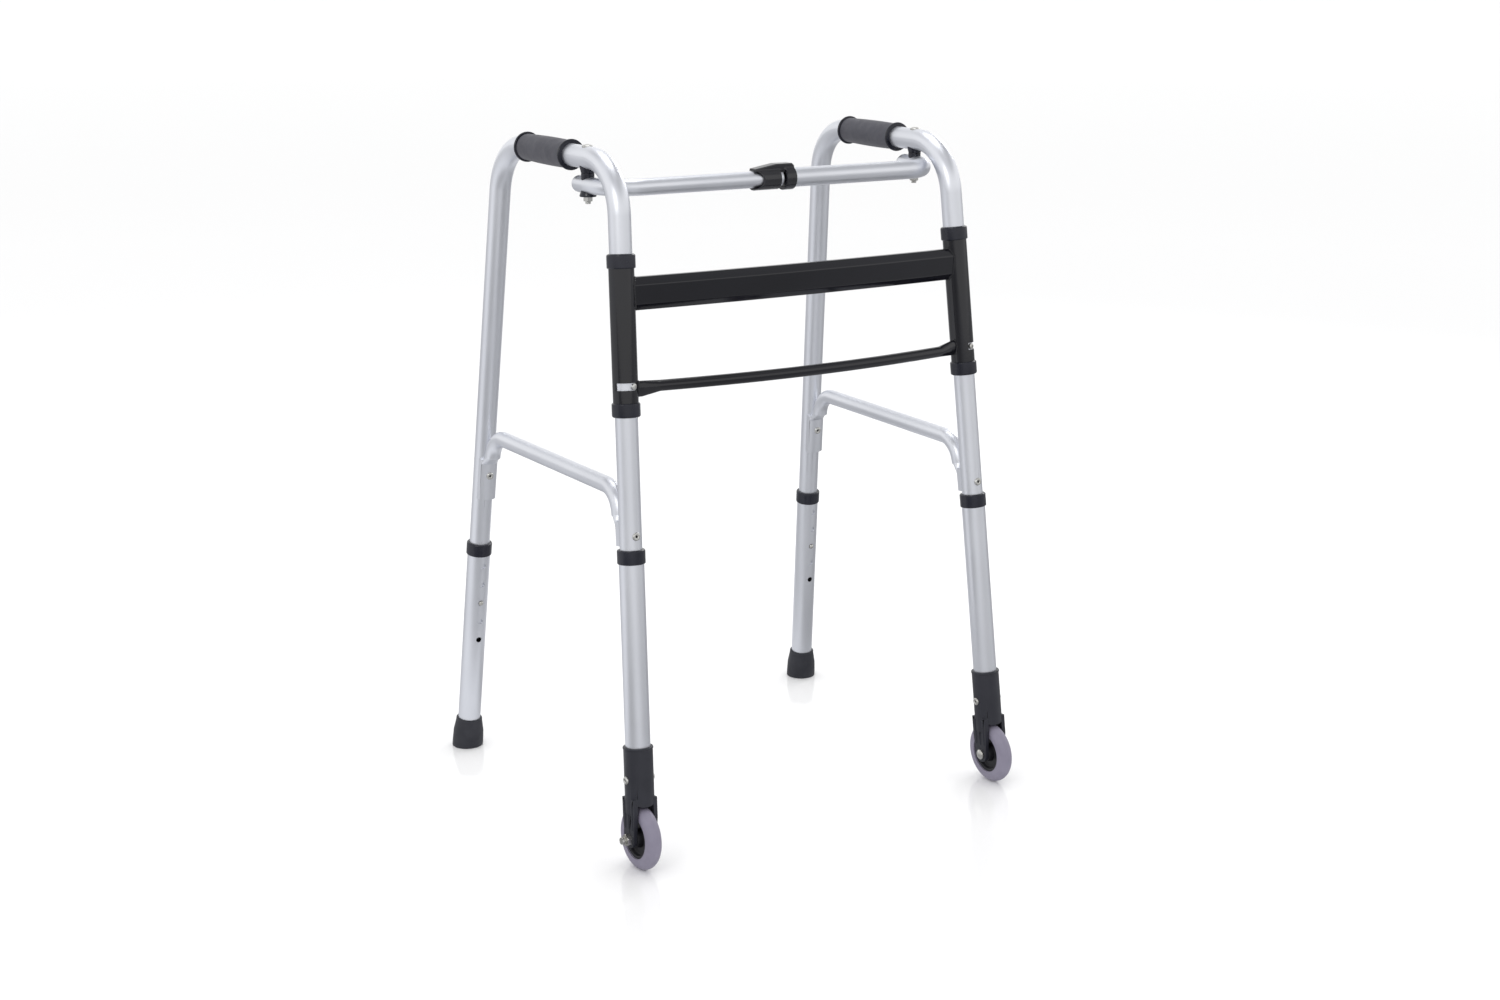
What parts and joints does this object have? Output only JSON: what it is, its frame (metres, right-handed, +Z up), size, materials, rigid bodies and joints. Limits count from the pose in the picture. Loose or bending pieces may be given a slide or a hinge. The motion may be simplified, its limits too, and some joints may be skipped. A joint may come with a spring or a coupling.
{
  "type": "folding walking frame",
  "caption": "Folding walking frame with front wheels, hinged side frames, height-adjusting legs, foam grips and a snap clip between its top arms.",
  "frame": {"origin": "on the floor, under the middle of the frame's box", "axes": "+Z up, the user stands at +Y and faces -Y, where the wheels are. Left in node names is the side at -X, as seen from in front of the wheels, which is the user's right"},
  "size_m": [0.5626, 0.51, 0.805],
  "materials": {
    "anodised_tube": "satin anodised",
    "black_paint": "gloss black",
    "black_plastic": "smooth moulded",
    "grey_black_moulding": "fine grained moulded",
    "grip_foam": "matt, slightly textured",
    "tip_rubber": "matt",
    "wheel_tread": "smooth grey rubber",
    "zinc_steel": "zinc plated"
  },
  "bodies": {
    "cross_frame": {"left_sleeve": "black_paint", "left_bushes": "black_plastic", "right_sleeve": "black_paint", "right_bushes": "black_plastic", "crossbar": "black_paint", "lower_bar": "black_paint"},
    "left_side_frame": {"left_side_tube": "anodised_tube", "left_side_brace": "anodised_tube", "left_brace_rivets": "zinc_steel", "left_stop_screw": "zinc_steel", "left_grip": "grip_foam", "left_pivot_bolt": "zinc_steel", "left_pivot_nut": "zinc_steel", "left_handle_cradle": "black_plastic", "left_front_spring": "zinc_steel", "left_rear_spring": "zinc_steel"},
    "left_top_arm": {"left_arm": "anodised_tube", "left_arm_cradles": "black_plastic"},
    "left_front_lower": {"left_front_leg": "anodised_tube", "left_front_collar": "black_plastic", "left_fork": "grey_black_moulding", "left_fork_rivet": "zinc_steel", "left_axle_bolt": "zinc_steel", "left_axle_nut": "zinc_steel"},
    "left_wheel": {"left_tyre": "wheel_tread", "left_hub": "grey_black_moulding"},
    "left_rear_lower": {"left_rear_leg": "anodised_tube", "left_rear_collar": "black_plastic", "left_rear_tip": "tip_rubber"},
    "left_front_lock": {"left_front_button": "zinc_steel"},
    "left_rear_lock": {"left_rear_button": "zinc_steel"},
    "right_side_frame": {"right_side_tube": "anodised_tube", "right_side_brace": "anodised_tube", "right_brace_rivets": "zinc_steel", "right_stop_screw": "zinc_steel", "right_grip": "grip_foam", "right_pivot_bolt": "zinc_steel", "right_pivot_nut": "zinc_steel", "right_handle_cradle": "black_plastic", "right_front_spring": "zinc_steel", "right_rear_spring": "zinc_steel"},
    "right_top_arm": {"right_arm": "anodised_tube", "right_arm_cradles": "black_plastic", "arm_clip": "black_plastic"},
    "right_front_lower": {"right_front_leg": "anodised_tube", "right_front_collar": "black_plastic", "right_fork": "grey_black_moulding", "right_fork_rivet": "zinc_steel", "right_axle_bolt": "zinc_steel", "right_axle_nut": "zinc_steel"},
    "right_wheel": {"right_tyre": "wheel_tread", "right_hub": "grey_black_moulding"},
    "right_rear_lower": {"right_rear_leg": "anodised_tube", "right_rear_collar": "black_plastic", "right_rear_tip": "tip_rubber"},
    "right_front_lock": {"right_front_button": "zinc_steel"},
    "right_rear_lock": {"right_rear_button": "zinc_steel"}
  },
  "joints": [
    {"name": "left_fold", "type": "hinge", "parent": "cross_frame", "child": "left_side_frame", "pos_m": [-0.22984, -0.151, 0.60172], "axis": [0.0372, 0.1169, 0.9924], "range_deg": [-75, 0], "deforming": ["arm_clip"]},
    {"name": "right_fold", "type": "hinge", "parent": "cross_frame", "child": "right_side_frame", "pos_m": [0.22984, -0.151, 0.60172], "axis": [-0.0372, 0.1169, 0.9924], "range_deg": [0, 75], "deforming": ["arm_clip"]},
    {"name": "left_arm_swing", "type": "hinge", "parent": "left_side_frame", "child": "left_top_arm", "pos_m": [-0.22421, -0.06133, 0.75698], "axis": [0, 0, 1], "range_deg": [0, 90], "deforming": ["arm_clip"]},
    {"name": "right_arm_swing", "type": "hinge", "parent": "right_side_frame", "child": "right_top_arm", "pos_m": [0.22421, -0.06133, 0.75698], "axis": [0, 0, 1], "range_deg": [-90, 0], "deforming": ["arm_clip"]},
    {"name": "left_front_height", "type": "slide", "parent": "left_side_frame", "child": "left_front_lower", "axis": [-0.0372, -0.1169, -0.9924], "range_m": [0, 0.0508], "deforming": ["left_front_button", "left_front_spring"]},
    {"name": "left_rear_height", "type": "slide", "parent": "left_side_frame", "child": "left_rear_lower", "axis": [-0.0417, 0.1103, -0.993], "range_m": [-0.0508, 0.0508], "deforming": ["left_rear_button", "left_rear_spring"]},
    {"name": "right_front_height", "type": "slide", "parent": "right_side_frame", "child": "right_front_lower", "axis": [0.0372, -0.1169, -0.9924], "range_m": [0, 0.0508], "deforming": ["right_front_button", "right_front_spring"]},
    {"name": "right_rear_height", "type": "slide", "parent": "right_side_frame", "child": "right_rear_lower", "axis": [0.0417, 0.1103, -0.993], "range_m": [-0.0508, 0.0508], "deforming": ["right_rear_button", "right_rear_spring"]},
    {"name": "left_front_button_press", "type": "slide", "parent": "left_side_frame", "child": "left_front_lock", "axis": [0.0242, -0.9929, 0.1161], "range_m": [0, 0.0042], "stiffness_N_per_m": 2000, "deforming": ["left_front_spring"]},
    {"name": "left_rear_button_press", "type": "slide", "parent": "left_side_frame", "child": "left_rear_lock", "axis": [-0.0152, 0.9937, 0.111], "range_m": [0, 0.0042], "stiffness_N_per_m": 2000, "deforming": ["left_rear_spring"]},
    {"name": "right_front_button_press", "type": "slide", "parent": "right_side_frame", "child": "right_front_lock", "axis": [-0.0242, -0.9929, 0.1161], "range_m": [0, 0.0042], "stiffness_N_per_m": 2000, "deforming": ["right_front_spring"]},
    {"name": "right_rear_button_press", "type": "slide", "parent": "right_side_frame", "child": "right_rear_lock", "axis": [0.0152, 0.9937, 0.111], "range_m": [0, 0.0042], "stiffness_N_per_m": 2000, "deforming": ["right_rear_spring"]},
    {"name": "left_wheel_spin", "type": "hinge", "parent": "left_front_lower", "child": "left_wheel", "pos_m": [-0.25099, -0.21747, 0.03748], "axis": [0.999, 0.0197, -0.0398], "continuous": true},
    {"name": "right_wheel_spin", "type": "hinge", "parent": "right_front_lower", "child": "right_wheel", "pos_m": [0.25099, -0.21747, 0.03748], "axis": [0.999, -0.0197, 0.0398], "continuous": true}
  ]
}
